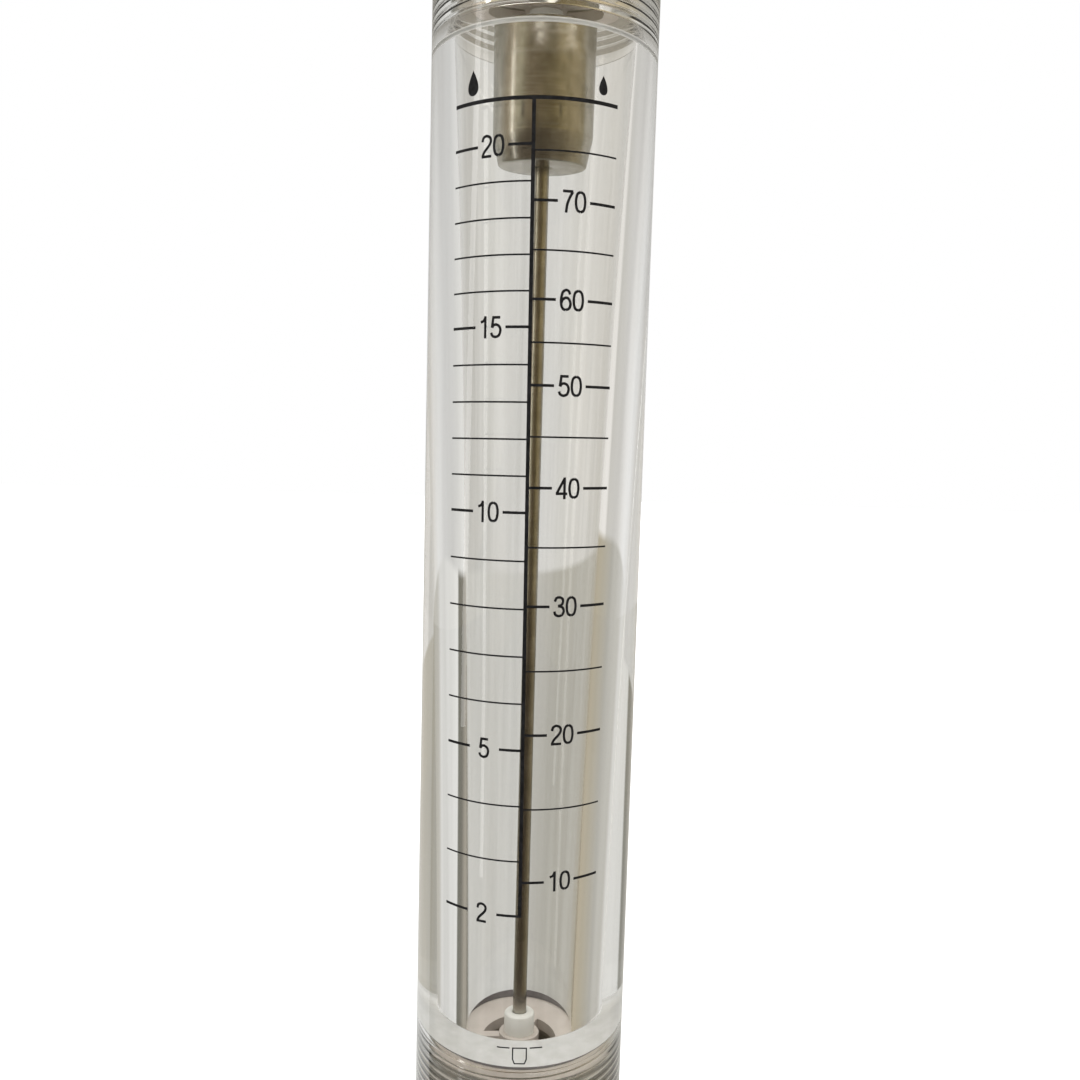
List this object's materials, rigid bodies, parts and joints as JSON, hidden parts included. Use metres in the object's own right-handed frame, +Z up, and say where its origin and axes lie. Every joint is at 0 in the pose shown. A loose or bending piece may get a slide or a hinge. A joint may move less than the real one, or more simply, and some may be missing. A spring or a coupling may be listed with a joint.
{
  "type": "rotameter",
  "caption": "Inline variable-area flow meter: thick clear acrylic tube with a tapered bore, printed dual scale, steel float sliding on a guide rod, and hexagonal threaded pipe adapters.",
  "frame": {"origin": "centre of the inlet adapter's end face, on the tube's axis", "axes": "+Z up along the tube's axis, the way the fluid flows; -Y is the side that carries the printed scale"},
  "size_m": [0.0578, 0.05, 0.338],
  "materials": {
    "clear_acrylic": "polished clear acrylic",
    "adapter_plastic": "moulded warm white plastic",
    "holder_plastic": "moulded ivory plastic",
    "bush_plastic": "turned white plastic",
    "seal_rubber": "black moulded rubber",
    "rod_steel": "drawn stainless steel",
    "float_steel": "turned stainless steel"
  },
  "bodies": {
    "housing": {"metering_tube": "clear_acrylic", "inlet_adapter": "adapter_plastic", "outlet_adapter": "adapter_plastic", "inlet_seal": "seal_rubber", "outlet_seal": "seal_rubber", "lower_holder_seal": "seal_rubber", "lower_rod_holder": "holder_plastic", "upper_rod_holder": "holder_plastic", "lower_rod_bush": "bush_plastic", "upper_rod_bush": "bush_plastic", "guide_rod": "rod_steel", "lower_rod_clip": "rod_steel", "upper_rod_clip": "rod_steel"},
    "float": {"float": "float_steel"}
  },
  "joints": [
    {"name": "float_slide", "type": "slide", "parent": "housing", "child": "float", "axis": [0, 0, 1], "range_m": [-0.1924, 0]}
  ]
}
